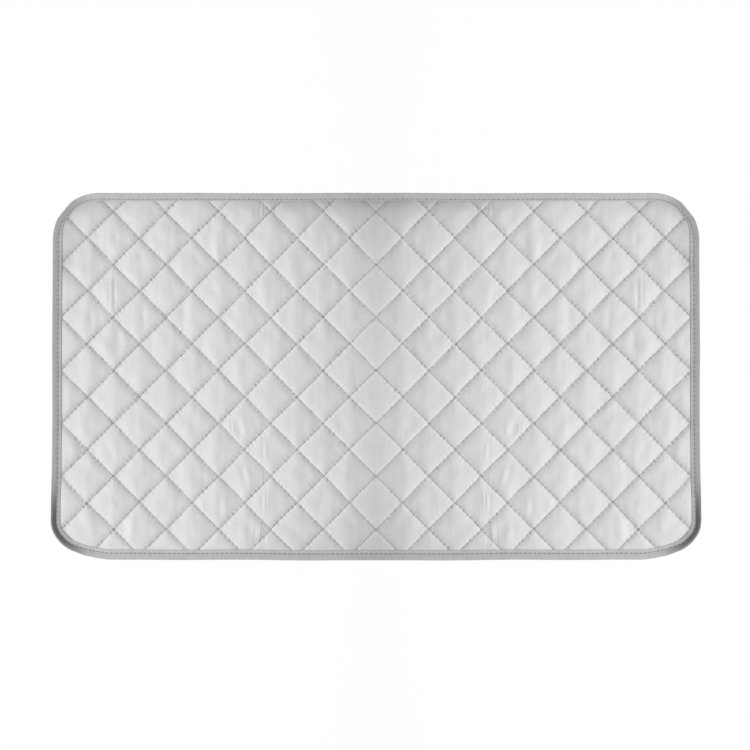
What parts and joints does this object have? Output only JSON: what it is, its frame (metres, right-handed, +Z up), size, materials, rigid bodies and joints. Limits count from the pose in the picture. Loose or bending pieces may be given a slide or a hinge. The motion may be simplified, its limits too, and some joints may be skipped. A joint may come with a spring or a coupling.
{
  "type": "ironing pad",
  "caption": "Flat quilted ironing pad: silver-coated face cloth, wadding and backing sewn in diamonds, with rounded corners and a sewn-on tape binding.",
  "frame": {"origin": "on the table under the middle of the pad lying flat, face up", "axes": "+X along the pad's length, +Y towards the long edge that is farther from the slack corners, +Z up through the face cloth"},
  "size_m": [0.85, 0.482, 0.007],
  "materials": {
    "silver_coated_cloth": "satin silver coating on a plain weave",
    "polyester_wadding": "soft needled fibre",
    "backing_cloth": "matt plain weave",
    "binding_tape": "matt woven tape",
    "sewing_thread": "twisted, slightly glossy"
  },
  "bodies": {
    "root": {"face_cloth": "silver_coated_cloth", "wadding": "polyester_wadding", "backing_cloth": "backing_cloth", "binding_tape": "binding_tape", "binding_needle_thread": "sewing_thread", "binding_bobbin_thread": "sewing_thread", "quilting_needle_thread_01": "sewing_thread", "quilting_needle_thread_02": "sewing_thread", "quilting_needle_thread_03": "sewing_thread", "quilting_needle_thread_04": "sewing_thread", "quilting_needle_thread_05": "sewing_thread", "quilting_needle_thread_06": "sewing_thread", "quilting_needle_thread_07": "sewing_thread", "quilting_needle_thread_08": "sewing_thread", "quilting_needle_thread_09": "sewing_thread", "quilting_needle_thread_10": "sewing_thread", "quilting_needle_thread_11": "sewing_thread", "quilting_needle_thread_12": "sewing_thread", "quilting_needle_thread_13": "sewing_thread", "quilting_needle_thread_14": "sewing_thread", "quilting_needle_thread_15": "sewing_thread", "quilting_needle_thread_16": "sewing_thread", "quilting_needle_thread_17": "sewing_thread", "quilting_needle_thread_18": "sewing_thread", "quilting_needle_thread_19": "sewing_thread", "quilting_needle_thread_20": "sewing_thread", "quilting_needle_thread_21": "sewing_thread", "quilting_needle_thread_22": "sewing_thread", "quilting_needle_thread_23": "sewing_thread", "quilting_needle_thread_24": "sewing_thread", "quilting_bobbin_thread_01": "sewing_thread", "quilting_bobbin_thread_02": "sewing_thread", "quilting_bobbin_thread_03": "sewing_thread", "quilting_bobbin_thread_04": "sewing_thread", "quilting_bobbin_thread_05": "sewing_thread", "quilting_bobbin_thread_06": "sewing_thread", "quilting_bobbin_thread_07": "sewing_thread", "quilting_bobbin_thread_08": "sewing_thread", "quilting_bobbin_thread_09": "sewing_thread", "quilting_bobbin_thread_10": "sewing_thread", "quilting_bobbin_thread_11": "sewing_thread", "quilting_bobbin_thread_12": "sewing_thread", "quilting_bobbin_thread_13": "sewing_thread", "quilting_bobbin_thread_14": "sewing_thread", "quilting_bobbin_thread_15": "sewing_thread", "quilting_bobbin_thread_16": "sewing_thread", "quilting_bobbin_thread_17": "sewing_thread", "quilting_bobbin_thread_18": "sewing_thread", "quilting_bobbin_thread_19": "sewing_thread", "quilting_bobbin_thread_20": "sewing_thread", "quilting_bobbin_thread_21": "sewing_thread", "quilting_bobbin_thread_22": "sewing_thread", "quilting_bobbin_thread_23": "sewing_thread", "quilting_bobbin_thread_24": "sewing_thread"}
  },
  "joints": []
}
